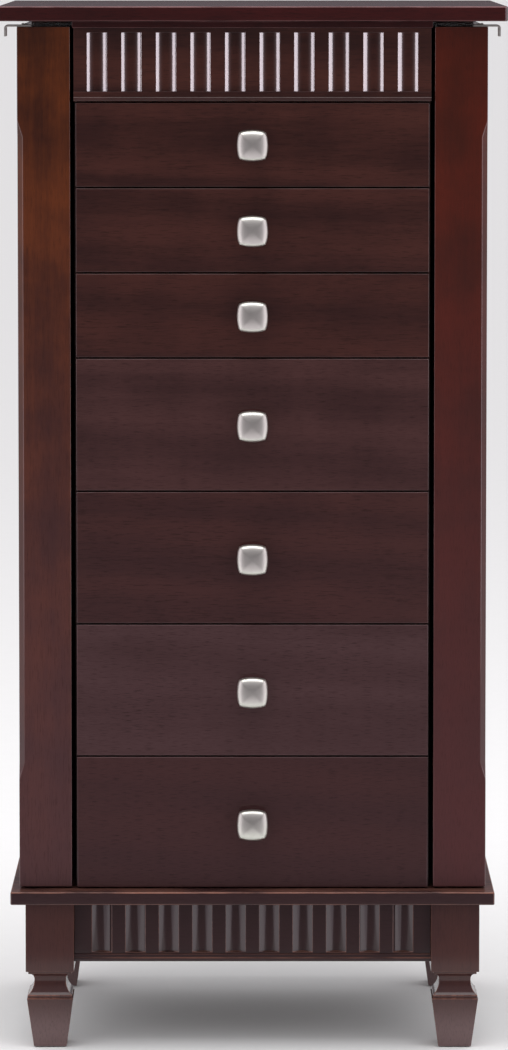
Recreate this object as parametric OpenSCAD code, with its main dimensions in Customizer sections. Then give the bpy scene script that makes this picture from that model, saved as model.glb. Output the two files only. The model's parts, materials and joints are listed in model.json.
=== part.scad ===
// Free-standing jewellery chest. A carcase holds a column of drawers below a fluted frieze.
// A lift-up lid with a mirror covers a lined tray. Two shallow side doors swing out on
// hinges at the back, and hold necklace hooks and a fabric pouch. It stands on a plinth
// with four square turned legs and a fluted apron.
// X runs to the right, Y to the back and Z up. The origin is on the floor, under the
// middle of the whole chest, knobs and hinge knuckles included.

/* [Body] */
// Width over the two closed doors
body_w = 453.5; // [400:0.5:560]
// Depth from the drawer faces to the back of the back panel
body_d = 325; // [270:1:400]
// Thickness of the two side panels of the carcase
side_t = 12; // [9:0.5:18]
// Thickness of the back panel
back_t = 12; // [9:0.5:18]

/* [Drawers] */
// Number of shallow drawers at the top
shallow_count = 3; // [1:1:4]
// Number of deep drawers at the bottom
deep_count = 4; // [1:1:5]
// Height that one shallow drawer takes up, with its gap
shallow_pitch = 82.5; // [60:0.5:110]
// Height that one deep drawer takes up, with its gap
deep_pitch = 129.5; // [90:0.5:170]
// Gap between one drawer front and the next
drawer_gap = 1.5; // [1:0.1:3]
// Thickness of a drawer front
front_t = 15; // [12:0.5:20]
// How far a drawer front stops short of each side of the carcase
front_margin = 1.75; // [0:0.25:4]
// Thickness of the four walls of a drawer box
box_wall_t = 9; // [6:0.5:12]
// Thickness of a drawer's floor
box_floor_t = 4; // [3:0.5:8]
// How far the top of a drawer box lies below the top of its front
box_top_drop = 8; // [5:0.5:15]
// Space between a closed drawer box and the back panel
box_rear_clear = 12; // [5:1:30]
// Width of the runners that carry the drawers
runner_w = 10; // [9:0.5:15]
// Height of the runners
runner_h = 8; // [6:0.5:12]

/* [Knobs] */
// Width and height of a knob over its bulging sides
knob_w = 30; // [22:0.5:40]
// How far the middle of a knob's side stands out beyond its corners
knob_bulge = 2; // [1:0.25:4]
// Distance from the drawer face to the front of a knob
knob_reach = 24; // [18:0.5:35]
// Thickness of a knob's head in the middle
knob_head_t = 11; // [8:0.5:15]
// Radius of the domed face of a knob
knob_dome_r = 48; // [36:1:120]
// Diameter of a knob's stem
knob_stem_d = 12; // [9:0.5:16]
// Diameter of the screw that holds a knob
knob_screw_d = 4; // [3:0.5:6]

/* [Lid] */
// Thickness of the lid
lid_t = 14.3; // [10:0.1:22]
// How far the lid stands out beyond each door
lid_side_over = 18.25; // [10:0.25:30]
// How far the lid stands out in front of the drawer faces
lid_front_over = 18; // [10:0.5:30]
// Radius of the lid's corners, seen from above
lid_corner_r = 4; // [2:0.5:12]
// Width of the frame round the mirror under the lid
mirror_frame_w = 20; // [12:1:35]
// Thickness of the mirror frame
mirror_frame_t = 6; // [5:0.5:9]
// Thickness of the mirror glass
mirror_t = 3; // [2:0.5:4]
// Space between the mirror frame and the walls of the tray
mirror_clear = 10; // [6:1:30]

/* [Frieze and tray] */
// Height of the frieze, from the drawers to the lid
frieze_h = 78; // [60:0.5:110]
// Height of the cap rail at the top of the frieze
cap_h = 6.7; // [4:0.1:12]
// How far the cap rail stands out in front of the frieze
cap_proud = 1; // [0:0.25:4]
// Height of the bead moulding at the bottom of the frieze
bead_h = 9.3; // [6:0.1:15]
// How far the flat of a bead moulding stands out
bead_flat = 1.8; // [1:0.1:3]
// Plain band between the flutes and the cap rail
frieze_band = 4.3; // [2:0.1:12]
// Thickness of the tray's floor
tray_floor_t = 6; // [4:0.5:10]
// Height of the tray's floor above the top drawer
tray_lift = 6.3; // [2:0.1:15]
// Height of the dividers in the tray
divider_h = 28; // [15:1:40]
// Thickness of the dividers
divider_t = 4; // [3:0.5:8]
// Diameter of a padded ring roll
ring_roll_d = 14; // [10:0.5:20]

/* [Flutes] */
// Number of flutes in the frieze and in the apron
flute_count = 10; // [4:1:12]
// Width of a flute at the face of the board
flute_w = 19.5; // [10:0.5:22]
// Radius of the cutter that makes a flute
flute_r = 14; // [10:0.5:20]
// Distance from the end of the frieze to its first flute's middle
frieze_margin = 22.5; // [15:0.5:40]
// Distance from the end of the apron to its first flute's middle
apron_margin = 27; // [15:0.5:40]

/* [Doors] */
// Thickness of a door, which is its width seen from the front
door_t = 51; // [40:0.5:70]
// Gap between a door and the carcase
door_gap = 3.5; // [2:0.25:6]
// Gap between a door and the lid
door_head_gap = 5.7; // [5:0.1:10]
// Gap between a door and the plinth
door_foot_gap = 2; // [1:0.25:5]
// Gap between a door and the back panel
door_back_gap = 1; // [0.6:0.1:2]
// Depth of the front post of a door
post_d = 24; // [18:0.5:40]
// Depth of the rear stile of a door
stile_d = 18; // [12:0.5:30]
// Height of the rails that close a door at the top and bottom
door_rail_h = 12; // [9:0.5:25]
// Thickness of the outer panel of a door
door_panel_t = 6; // [4:0.5:9]
// How far the panel lies behind the outer face of the door
door_panel_inset = 3; // [0:0.5:6]
// Width of the chamfer on the post, measured on each face
chamfer_w = 5.3; // [2:0.1:9]
// Distance from the top of the post to the full chamfer
chamfer_top = 106; // [50:1:200]
// Distance from the foot of the post to the full chamfer
chamfer_foot = 122; // [50:1:200]
// Length over which each end of the chamfer runs out
chamfer_runout = 17; // [8:1:40]

/* [Door fittings] */
// Thickness of the bent steel pull
pull_t = 2; // [1.5:0.1:3]
// Width of the pull
pull_w = 20; // [12:0.5:22]
// How far the pull reaches over the door's top
pull_land = 14; // [10:0.5:25]
// How far the pull stands out beyond the door
pull_reach = 12.3; // [10:0.1:17]
// Height of the bent-down end of the pull
pull_drop = 11.3; // [8:0.1:20]
// Number of necklace hooks in a door
hook_count = 8; // [4:1:9]
// Diameter of a hook
hook_d = 4; // [3:0.5:6]
// Length of a hook
hook_l = 20; // [12:1:25]
// Height of a hook's turned-up end
hook_tip = 7; // [5:0.5:12]
// How much thinner the turned-up end is than the hook
hook_taper = 0.6; // [0.4:0.1:1]
// Thickness of the rail that carries the hooks
hook_rail_t = 6; // [4:0.5:9]
// Height of the rail that carries the hooks
hook_rail_h = 18; // [12:1:30]
// Distance from the top of the door to the middle of the hooks
hook_drop = 48; // [35:1:90]
// Height of the fabric pouch
pouch_h = 130; // [80:1:200]
// Depth of the pouch, inside the door's thickness
pouch_d = 26; // [15:0.5:32]
// Thickness of the pouch's padded fabric
pouch_t = 2.5; // [1.5:0.1:4]

/* [Hinges] */
// Outer diameter of a hinge knuckle
knuckle_d = 6; // [5:0.5:9]
// Diameter of a hinge pin
hinge_pin_d = 3; // [2:0.25:3.5]
// Thickness of a hinge leaf
leaf_t = 1.5; // [1:0.1:2]
// Width of a hinge leaf that is let into the wood
leaf_w = 9; // [6:0.5:10]
// Length of a lid hinge
lid_hinge_l = 50; // [35:1:80]
// Distance from the chest's middle to a lid hinge
lid_hinge_x = 150; // [90:1:170]
// Length of a door hinge
door_hinge_l = 60; // [40:1:90]
// Number of hinges on a door
door_hinge_count = 3; // [2:1:4]
// Distance from a door's end to the middle of its end hinge
door_hinge_end = 90; // [60:1:150]

/* [Base] */
// Thickness of the plinth
plinth_t = 12.7; // [9:0.1:20]
// How far the plinth stands out beyond each door
plinth_side_over = 8.25; // [0:0.25:20]
// Height of the underside of the plinth above the floor
leg_h = 144.8; // [125:0.1:200]
// Width of the square block of a leg
leg_w = 47; // [40:0.5:60]
// How far the legs stand in from the edges of the plinth
leg_inset = 14; // [5:0.5:30]
// Height of the turned foot below the leg's square block
foot_h = 76; // [60:0.5:90]
// Width of the foot where it meets the floor
foot_w = 32; // [22:0.5:38]
// Height of the apron
apron_h = 60.4; // [40:0.1:75]
// Thickness of the apron
apron_t = 12; // [10:0.5:15]
// How far the apron stands behind the faces of the legs
apron_setback = 12; // [4:0.5:20]
// Height of the bead strip along the foot of the apron
apron_bead_h = 7.4; // [4:0.1:12]
// Diameter of a glide under a leg
glide_d = 20; // [12:0.5:24]

/* [Hidden] */
$fn = 64;

// Clearances. Boards in one node keep a glue line apart, so each stays its own solid.
glue = 0.1;
rest_gap = 0.4;
slide_gap = 0.4;
box_side_clear = 1;
pin_clear = 0.06;
hinge_clear = 0.3;
mortise_clear = 0.1;
screw_clear = 0.25;
thread_clear = 0.05;
eps = 0.01;

// Small fixed sizes of the turned foot, from the floor up.
glide_t = 4;
glide_show = 1;
shoulder_frac = 0.65;
shoulder_in = 1;
quirk_in = 1.6;
quirk_h = 1.2;
fillet_in = 1;
fillet_h = 2;
neck_half = 15.4;
neck_h = 2;
cove_r = 5.7;
step_h = 2.5;

// Small fixed sizes of the fittings.
knob_base_d = 16;
knob_base_t = 2;
screw_head_d = 8;
screw_head_t = 2.4;
stem_thread = 8;
pull_screw_d = 3;
pull_screw_l = 14;
glide_clear = 0.2;
runner_lift = 1.5;
box_floor_lift = 2;
cap_side = 1.5;
bead_round = 2.3;
bead_sink = 1;
apron_band = 1.5;
mirror_lip = 3;
ring_roll_count = 7;

// Heights, from the floor up.
plinth_z = leg_h + plinth_t;
drawers_z = plinth_z + drawer_gap / 2;
drawer_count = shallow_count + deep_count;
function pitch_sum(n) = min(n, shallow_count) * shallow_pitch + max(n - shallow_count, 0) * deep_pitch;
frieze_z = drawers_z + pitch_sum(drawer_count);
lid_z = frieze_z + frieze_h;
carcase_top = lid_z - rest_gap;
cap_z = lid_z - cap_h;
door_z0 = plinth_z + door_foot_gap;
door_z1 = lid_z - door_head_gap;

// Widths, from the middle out.
carcase_w = body_w - 2 * (door_t + door_gap);
inner_w = carcase_w - 2 * side_t;
front_w = carcase_w - 2 * front_margin;
door_x0 = carcase_w / 2 + door_gap;
door_x1 = body_w / 2;
lid_w = body_w + 2 * lid_side_over;
plinth_w = body_w + 2 * plinth_side_over;
leg_x = plinth_w / 2 - leg_inset - leg_w / 2;

// Depths, from the knobs to the knuckles, with the origin halfway.
knuckle_r = knuckle_d / 2;
total_d = knob_reach + body_d + knuckle_d + hinge_clear;
front_y = knob_reach - total_d / 2;
back_y = front_y + body_d;
side_y0 = front_y + front_t + rest_gap;
side_y1 = back_y - back_t;
lid_y0 = front_y - lid_front_over;
door_y1 = side_y1 - door_back_gap;
leg_y0 = lid_y0 + leg_inset + leg_w / 2;
leg_y1 = back_y - leg_inset - leg_w / 2;
box_y0 = front_y + front_t;
box_y1 = side_y1 - box_rear_clear;

// The drawers count from the top.
function drawer_z1(n) = frieze_z - pitch_sum(n - 1) - drawer_gap / 2;
function drawer_z0(n) = frieze_z - pitch_sum(n) + drawer_gap / 2;
function runner_z0(n) = drawer_z0(n) + runner_lift;
function box_z0(n) = runner_z0(n) + runner_h + slide_gap;
function box_z1(n) = drawer_z1(n) - box_top_drop;
function knob_z(n) = (drawer_z0(n) + drawer_z1(n)) / 2;
box_x1 = inner_w / 2 - box_side_clear;
box_x0 = box_x1 - box_wall_t;

// The tray under the lid.
tray_z = frieze_z + tray_lift + tray_floor_t;
tray_mid_y = (side_y0 + side_y1) / 2;
divider_x = inner_w / 6;

// Colours.
lid_wood = [0.25, 0.13, 0.12];
drawer_wood = [0.25, 0.15, 0.13];
post_wood = [0.32, 0.18, 0.11];
base_wood = [0.28, 0.18, 0.17];
carcase_wood = [0.2, 0.11, 0.1];
box_wood = [0.62, 0.47, 0.32];
velvet = [0.1, 0.09, 0.11];
satin_nickel = [0.72, 0.7, 0.68];
hinge_brass = [0.66, 0.56, 0.34];
mirror_glass = [0.8, 0.83, 0.85];
glide_plastic = [0.12, 0.12, 0.12];

drawer_pieces = ["front", "box", "knob"];
drawer_nodes = [
  for (n = [1 : drawer_count])
    for (piece = drawer_pieces)
      str("drawer_", n, "_", piece)
];

// A board between two opposite corners.
module board(low, high) {
  translate(low)
    cube(high - low);
}

// The right-hand one of a pair, or its mirror image on the left.
module on_side(right) {
  if (right)
    children();
  else
    mirror([1, 0, 0])
      children();
}

// One row of upright flutes, as the round bars that a cutter would sweep.
module flute_cutters(width, margin, face_y, z0, z1) {
  pitch = (width - 2 * margin) / (flute_count - 1);
  centre_y = face_y - sqrt(flute_r * flute_r - flute_w * flute_w / 4);
  for (i = [0 : flute_count - 1])
    translate([i * pitch - width / 2 + margin, centre_y, z0])
      cylinder(h = z1 - z0, r = flute_r);
}

// The profile of a bead moulding: a flat strip with a half-round along its lower edge.
module bead_strip(width, face_y, z0, height) {
  translate([-width / 2, face_y, z0])
    rotate([90, 0, 90])
      linear_extrude(width)
        union() {
          translate([-bead_flat, 0])
            square([bead_flat, height]);
          intersection() {
            translate([bead_sink - bead_flat, bead_round])
              circle(r = bead_round);
            translate([-2 * bead_round, 0])
              square([2 * bead_round, height]);
          }
        }
}

// Hinges lie along X with the leaves towards -Y, the fixed one below and the moving one above.
module barrel(x0, x1, r) {
  translate([x0, 0, 0])
    rotate([0, 90, 0])
      cylinder(h = x1 - x0, r = r);
}

module hinge_leaf(length, z0) {
  board([-length / 2, -knuckle_r - hinge_clear - leaf_w, z0],
    [length / 2, -knuckle_r - hinge_clear, z0 + leaf_t]);
}

module hinge_knuckle(x0, x1, z0) {
  barrel(x0, x1, knuckle_r);
  board([x0, -knuckle_r - hinge_clear - eps, z0], [x1, 0, z0 + leaf_t]);
}

module hinge_fixed_half(length, gap) {
  z0 = -gap / 2 - leaf_t;
  hinge_leaf(length, z0);
  hinge_knuckle(-length / 2, -length / 6, z0);
  hinge_knuckle(length / 6, length / 2, z0);
  barrel(-length / 2, length / 2, hinge_pin_d / 2);
}

module hinge_moving_half(length, gap) {
  z0 = gap / 2;
  difference() {
    union() {
      hinge_leaf(length, z0);
      hinge_knuckle(-length / 6 + hinge_clear, length / 6 - hinge_clear, z0);
    }
    barrel(-length, length, hinge_pin_d / 2 + pin_clear);
  }
}

// The pocket in the wood for a leaf, open towards the knuckle.
module leaf_mortise(length, z0, z1) {
  board([-length / 2 - mortise_clear, -knuckle_r - hinge_clear - leaf_w - mortise_clear, z0],
    [length / 2 + mortise_clear, 0, z1]);
}

module at_lid_hinges() {
  for (side = [-1, 1])
    translate([side * lid_hinge_x, back_y + knuckle_r + hinge_clear, lid_z - rest_gap / 2])
      children();
}

module at_door_hinges() {
  hinge_y = (door_y1 + side_y1) / 2;
  first_z = door_z0 + door_hinge_end;
  step_z = (door_z1 - door_z0 - 2 * door_hinge_end) / (door_hinge_count - 1);
  for (i = [0 : door_hinge_count - 1])
    translate([door_x1 + knuckle_r + hinge_clear, hinge_y, first_z + i * step_z])
      rotate([90, 90, 0])
        children();
}

// Lid.
module rounded_slab(w, d, t, r) {
  board([-w / 2 + r, 0, 0], [w / 2 - r, d, t]);
  board([-w / 2, r, 0], [w / 2, d - r, t]);
  for (x = [-w / 2 + r, w / 2 - r])
    for (y = [r, d - r])
      translate([x, y, 0])
        cylinder(h = t, r = r);
}

module lid() {
  color(lid_wood)
    difference() {
      translate([0, lid_y0, lid_z])
        rounded_slab(lid_w, back_y - lid_y0, lid_t, lid_corner_r);
      at_lid_hinges()
        leaf_mortise(lid_hinge_l, -rest_gap, rest_gap / 2 + leaf_t + mortise_clear);
    }
}

frame_x = inner_w / 2 - mirror_clear;
frame_y0 = side_y0 + mirror_clear;
frame_y1 = side_y1 - mirror_clear;
pane_x = frame_x - mirror_frame_w + mirror_lip;
pane_y0 = frame_y0 + mirror_frame_w - mirror_lip;
pane_y1 = frame_y1 - mirror_frame_w + mirror_lip;

module mirror_frame() {
  z0 = lid_z - mirror_frame_t;
  inner_x = frame_x - mirror_frame_w;
  color(lid_wood)
    difference() {
      union() {
        for (side = [-1, 1])
          translate([side * (frame_x - mirror_frame_w / 2) - mirror_frame_w / 2, frame_y0, z0])
            cube([mirror_frame_w, frame_y1 - frame_y0, mirror_frame_t]);
        for (y = [frame_y0, frame_y1 - mirror_frame_w])
          board([-inner_x + glue, y, z0], [inner_x - glue, y + mirror_frame_w, lid_z]);
      }
      board([-pane_x - glue, pane_y0 - glue, lid_z - mirror_t - glue],
        [pane_x + glue, pane_y1 + glue, lid_z + eps]);
    }
}

module mirror_pane() {
  color(mirror_glass)
    board([-pane_x, pane_y0, lid_z - mirror_t], [pane_x, pane_y1, lid_z]);
}

module lid_hinge_moving() {
  color(hinge_brass)
    at_lid_hinges()
      hinge_moving_half(lid_hinge_l, rest_gap);
}

module lid_hinge_fixed() {
  color(hinge_brass)
    at_lid_hinges()
      hinge_fixed_half(lid_hinge_l, rest_gap);
}

// Carcase.
module carcase_side(right) {
  color(carcase_wood)
    on_side(right)
      board([inner_w / 2, side_y0, plinth_z], [carcase_w / 2, side_y1, carcase_top]);
}

module back_panel() {
  color(carcase_wood)
    difference() {
      board([-body_w / 2, side_y1, plinth_z], [body_w / 2, back_y, carcase_top]);
      at_lid_hinges()
        leaf_mortise(lid_hinge_l, -rest_gap / 2 - leaf_t - mortise_clear, rest_gap);
      for (right = [false, true])
        on_side(right)
          at_door_hinges()
            leaf_mortise(door_hinge_l, -door_back_gap / 2 - leaf_t - mortise_clear, 0);
    }
}

module drawer_runners() {
  color(box_wood)
    for (n = [1 : drawer_count])
      for (right = [false, true])
        on_side(right)
          board([inner_w / 2 - runner_w, side_y0, runner_z0(n)],
            [inner_w / 2, side_y1, runner_z0(n) + runner_h]);
}

// Frieze.
module frieze_panel() {
  z0 = frieze_z + drawer_gap / 2;
  color(drawer_wood)
    difference() {
      board([-carcase_w / 2, front_y, z0], [carcase_w / 2, side_y0, cap_z]);
      flute_cutters(carcase_w, frieze_margin, front_y, z0 + bead_h, cap_z - frieze_band);
    }
}

module frieze_cap() {
  color(lid_wood)
    board([-carcase_w / 2 - cap_side, front_y - cap_proud, cap_z],
      [carcase_w / 2 + cap_side, side_y0, carcase_top]);
}

module frieze_bead() {
  color(drawer_wood)
    bead_strip(carcase_w, front_y, frieze_z + drawer_gap / 2, bead_h);
}

// Tray.
module tray_floor() {
  color(velvet)
    board([-inner_w / 2, side_y0, tray_z - tray_floor_t], [inner_w / 2, side_y1, tray_z]);
}

module tray_dividers() {
  half_t = divider_t / 2;
  color(velvet) {
    board([-inner_w / 2, tray_mid_y - half_t, tray_z],
      [inner_w / 2, tray_mid_y + half_t, tray_z + divider_h]);
    for (x = [-divider_x, divider_x])
      board([x - half_t, side_y0, tray_z], [x + half_t, tray_mid_y - half_t - glue, tray_z + divider_h]);
    board([-half_t, tray_mid_y + half_t + glue, tray_z], [half_t, side_y1, tray_z + divider_h]);
  }
}

// The rolls lie side by side in the front left compartment.
module ring_rolls() {
  roll_x0 = -inner_w / 2 + slide_gap;
  roll_x1 = -divider_x - divider_t / 2 - slide_gap;
  room = tray_mid_y - divider_t / 2 - side_y0;
  pitch = room / ring_roll_count;
  roll_r = min(ring_roll_d, pitch - slide_gap) / 2;
  color(velvet)
    for (i = [0 : ring_roll_count - 1])
      translate([roll_x0, side_y0 + (i + 0.5) * pitch, tray_z + roll_r])
        rotate([0, 90, 0])
          cylinder(h = roll_x1 - roll_x0, r = roll_r);
}

// Doors.
// The chamfer's tool is a long wedge that leaves the wood at both ends.
module chamfer_tool() {
  depth = chamfer_w / sqrt(2);
  runout = 2 * chamfer_runout;
  z0 = door_z0 + chamfer_foot;
  z1 = door_z1 - chamfer_top;
  translate([door_x1, front_y, 0])
    rotate([0, 0, -45])
      translate([-depth, 0, 0])
        rotate([90, 0, 0])
          linear_extrude(4 * chamfer_w, center = true)
            polygon([[0, z0], [0, z1], [2 * depth, z1 + runout], [2 * depth, z0 - runout]]);
}

module pull_screw_hole(r) {
  translate([door_x1 - pull_land / 2, front_y + post_d / 2, door_z1 - pull_screw_l])
    cylinder(h = pull_screw_l + pull_t + eps, r = r);
}

module door_frame(right) {
  stile_y0 = door_y1 - stile_d;
  color(post_wood)
    on_side(right)
      difference() {
        union() {
          board([door_x0, front_y, door_z0], [door_x1, front_y + post_d, door_z1]);
          board([door_x0, stile_y0, door_z0], [door_x1, door_y1, door_z1]);
          for (z = [door_z0, door_z1 - door_rail_h])
            board([door_x0, front_y + post_d + glue, z], [door_x1, stile_y0 - glue, z + door_rail_h]);
        }
        chamfer_tool();
        pull_screw_hole(pull_screw_d / 2 + thread_clear);
        at_door_hinges()
          leaf_mortise(door_hinge_l, 0, door_back_gap / 2 + leaf_t + mortise_clear);
      }
}

panel_x1 = door_x1 - door_panel_inset;
panel_x0 = panel_x1 - door_panel_t;
well_y0 = front_y + post_d + glue;
well_y1 = door_y1 - stile_d - glue;
well_z0 = door_z0 + door_rail_h + glue;
well_z1 = door_z1 - door_rail_h - glue;

module door_panel(right) {
  color(post_wood)
    on_side(right)
      board([panel_x0, well_y0, well_z0], [panel_x1, well_y1, well_z1]);
}

// A bent strip screwed to the top of the door, with its end turned down outside.
module door_pull(right) {
  y0 = front_y + (post_d - pull_w) / 2;
  tip_x = door_x1 + pull_reach;
  z1 = door_z1 + pull_t;
  color(satin_nickel)
    on_side(right) {
      difference() {
        union() {
          board([door_x1 - pull_land, y0, door_z1], [tip_x, y0 + pull_w, z1]);
          board([tip_x - pull_t, y0, z1 - pull_drop], [tip_x, y0 + pull_w, z1]);
        }
        pull_screw_hole(pull_screw_d / 2 + screw_clear);
      }
      pull_screw_hole(pull_screw_d / 2);
      translate([door_x1 - pull_land / 2, front_y + post_d / 2, z1 + eps])
        cylinder(h = pull_screw_d / 2, r = pull_screw_d);
    }
}

module door_hooks(right) {
  rail_x0 = panel_x0 - hook_rail_t;
  rail_z = door_z1 - hook_drop;
  pitch = (well_y1 - well_y0) / hook_count;
  color(satin_nickel)
    on_side(right) {
      board([rail_x0, well_y0, rail_z - hook_rail_h / 2], [panel_x0, well_y1, rail_z + hook_rail_h / 2]);
      for (i = [0 : hook_count - 1])
        translate([rail_x0 - glue, well_y0 + (i + 0.5) * pitch, rail_z]) {
          rotate([0, -90, 0])
            cylinder(h = hook_l, d = hook_d);
          translate([-hook_l + hook_d / 2, 0, 0])
            cylinder(h = hook_tip, d = hook_d - hook_taper);
        }
    }
}

// A pocket of padded fabric, open at the top, with the door's panel as its back.
module door_pouch(right) {
  x0 = panel_x0 - pouch_d;
  z0 = well_z0 + slide_gap;
  y0 = well_y0 + slide_gap;
  y1 = well_y1 - slide_gap;
  color(velvet)
    on_side(right) {
      board([x0, y0, z0], [x0 + pouch_t, y1, z0 + pouch_h]);
      board([x0 + pouch_t + glue, y0, z0], [panel_x0, y1, z0 + pouch_t]);
      for (y = [y0, y1 - pouch_t])
        board([x0 + pouch_t + glue, y, z0 + pouch_t + glue], [panel_x0, y + pouch_t, z0 + pouch_h]);
    }
}

module door_hinge(right) {
  color(hinge_brass)
    on_side(right)
      at_door_hinges()
        hinge_moving_half(door_hinge_l, door_back_gap);
}

module door_hinge_fixed() {
  color(hinge_brass)
    for (right = [false, true])
      on_side(right)
        at_door_hinges()
          hinge_fixed_half(door_hinge_l, door_back_gap);
}

// Base.
module plinth() {
  color(base_wood)
    board([-plinth_w / 2, lid_y0, leg_h], [plinth_w / 2, back_y, plinth_z]);
}

// Half of a leg's outline, mirrored about its middle. The foot is a tapered block below a
// quirk, a long cove up to the neck, and a short cove up to the square block.
module leg_outline() {
  half = leg_w / 2;
  shoulder_z = foot_h * shoulder_frac;
  shoulder_half = half - shoulder_in;
  quirk_half = shoulder_half - quirk_in;
  fillet_half = shoulder_half - fillet_in;
  fillet_z = shoulder_z + quirk_h;
  cove_z = fillet_z + fillet_h;
  step_half = neck_half + cove_r;
  neck_z1 = foot_h - step_h - cove_r;
  neck_z0 = neck_z1 - neck_h;
  rise = neck_z0 - cove_z;
  out = fillet_half - neck_half;
  sweep_r = (rise * rise + out * out) / (2 * out);
  for (side = [0, 1])
    mirror([side, 0])
      difference() {
        polygon([[0, glide_show], [foot_w / 2, glide_show], [shoulder_half, shoulder_z],
          [quirk_half, shoulder_z], [quirk_half, fillet_z], [fillet_half, fillet_z],
          [fillet_half, cove_z], [step_half, neck_z0 + neck_h / 2], [step_half, foot_h],
          [half, foot_h], [half, leg_h], [0, leg_h]]);
        translate([neck_half, neck_z0 - eps])
          square([half, neck_h + 2 * eps]);
        translate([neck_half + sweep_r, neck_z0])
          intersection() {
            circle(r = sweep_r, $fn = 96);
            translate([-sweep_r, -rise])
              square([sweep_r, rise]);
          }
        translate([step_half, neck_z1])
          intersection() {
            circle(r = cove_r);
            translate([-cove_r, 0])
              square([2 * cove_r, cove_r]);
          }
      }
}

module leg(x, y) {
  color(base_wood)
    translate([x, y, 0])
      difference() {
        intersection() {
          rotate([90, 0, 0])
            linear_extrude(leg_w, center = true)
              leg_outline();
          rotate([90, 0, 90])
            linear_extrude(leg_w, center = true)
              leg_outline();
        }
        translate([0, 0, -eps])
          cylinder(h = glide_t + eps, d = glide_d + glide_clear);
      }
}

module leg_glides() {
  color(glide_plastic)
    for (x = [-leg_x, leg_x])
      for (y = [leg_y0, leg_y1])
        translate([x, y, 0])
          cylinder(h = glide_t, d = glide_d);
}

apron_x = leg_x - leg_w / 2;
apron_y0 = leg_y0 - leg_w / 2 + apron_setback;
apron_z0 = leg_h - apron_h;

module apron_front() {
  flute_z0 = apron_z0 + apron_bead_h + apron_band;
  color(base_wood)
    difference() {
      board([-apron_x, apron_y0, apron_z0], [apron_x, apron_y0 + apron_t, leg_h]);
      flute_cutters(2 * apron_x, apron_margin, apron_y0, flute_z0, leg_h - frieze_band);
    }
}

module apron_bead() {
  color(base_wood)
    bead_strip(2 * apron_x, apron_y0, apron_z0, apron_bead_h);
}

module apron_sides() {
  x1 = leg_x + leg_w / 2 - apron_setback;
  color(base_wood)
    for (right = [false, true])
      on_side(right)
        board([x1 - apron_t, leg_y0 + leg_w / 2, apron_z0], [x1, leg_y1 - leg_w / 2, leg_h]);
}

module apron_rear() {
  y1 = leg_y1 + leg_w / 2 - apron_setback;
  color(base_wood)
    board([-apron_x, y1 - apron_t, apron_z0], [apron_x, y1, leg_h]);
}

// Drawers.
module knob_screw_bore(n) {
  translate([0, box_y0 + box_wall_t + glue, knob_z(n)])
    rotate([90, 0, 0])
      cylinder(h = front_t + box_wall_t + 2 * glue, r = knob_screw_d / 2 + screw_clear);
}

module drawer_front(n) {
  color(drawer_wood)
    difference() {
      board([-front_w / 2, front_y, drawer_z0(n)], [front_w / 2, front_y + front_t, drawer_z1(n)]);
      knob_screw_bore(n);
    }
}

module drawer_box(n) {
  z0 = box_z0(n);
  z1 = box_z1(n);
  color(box_wood)
    difference() {
      union() {
        for (right = [false, true])
          on_side(right)
            board([box_x0, box_y0, z0], [box_x1, box_y1, z1]);
        for (y = [box_y0, box_y1 - box_wall_t])
          board([-box_x0 + glue, y, z0], [box_x0 - glue, y + box_wall_t, z1]);
        board([-box_x0 + glue, box_y0 + box_wall_t + glue, z0 + box_floor_lift],
          [box_x0 - glue, box_y1 - box_wall_t - glue, z0 + box_floor_lift + box_floor_t]);
      }
      knob_screw_bore(n);
    }
}

// The outline of a knob: four large arcs that meet at the corners.
module knob_outline() {
  half = knob_w / 2;
  corner = half - knob_bulge;
  arc_r = (corner * corner + knob_bulge * knob_bulge) / (2 * knob_bulge);
  intersection_for(turn = [0, 90, 180, 270])
    rotate(turn)
      translate([half - arc_r, 0])
        circle(r = arc_r, $fn = 96);
}

module drawer_knob(n) {
  screw_r = knob_screw_d / 2;
  head_y = box_wall_t + front_t;
  color(satin_nickel)
    translate([0, front_y, knob_z(n)])
      rotate([90, 0, 0]) {
        difference() {
          union() {
            cylinder(h = knob_base_t, d = knob_base_d);
            cylinder(h = knob_reach - knob_head_t + eps, d = knob_stem_d);
            intersection() {
              translate([0, 0, knob_reach - knob_head_t])
                linear_extrude(knob_head_t)
                  knob_outline();
              translate([0, 0, knob_reach - knob_dome_r])
                sphere(r = knob_dome_r, $fn = 96);
            }
          }
          translate([0, 0, -eps])
            cylinder(h = stem_thread + glue, r = screw_r + thread_clear);
        }
        translate([0, 0, -head_y])
          cylinder(h = head_y + stem_thread, r = screw_r);
        translate([0, 0, -head_y - screw_head_t])
          cylinder(h = screw_head_t, d = screw_head_d);
      }
}

lid();
mirror_frame();
mirror_pane();  // mirror
lid_hinge_moving();
lid_hinge_fixed();
carcase_side(false);  // carcase_side_left
carcase_side(true);  // carcase_side_right
back_panel();
frieze_panel();
frieze_cap();
frieze_bead();
tray_floor();
tray_dividers();
ring_rolls();
drawer_runners();
door_frame(false);  // door_left_frame
door_panel(false);  // door_left_panel
door_pull(false);  // door_left_pull
door_hooks(false);  // door_left_hooks
door_pouch(false);  // door_left_pouch
door_hinge(false);  // door_left_hinge
door_frame(true);  // door_right_frame
door_panel(true);  // door_right_panel
door_pull(true);  // door_right_pull
door_hooks(true);  // door_right_hooks
door_pouch(true);  // door_right_pouch
door_hinge(true);  // door_right_hinge
door_hinge_fixed();
plinth();
leg(-leg_x, leg_y0);  // leg_front_left
leg(leg_x, leg_y0);  // leg_front_right
leg(-leg_x, leg_y1);  // leg_rear_left
leg(leg_x, leg_y1);  // leg_rear_right
leg_glides();
apron_front();
apron_bead();
apron_sides();
apron_rear();
for (n = [1 : drawer_count]) {
  drawer_front(n);
  drawer_box(n);
  drawer_knob(n);
}
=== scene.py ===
import json
import math

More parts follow.
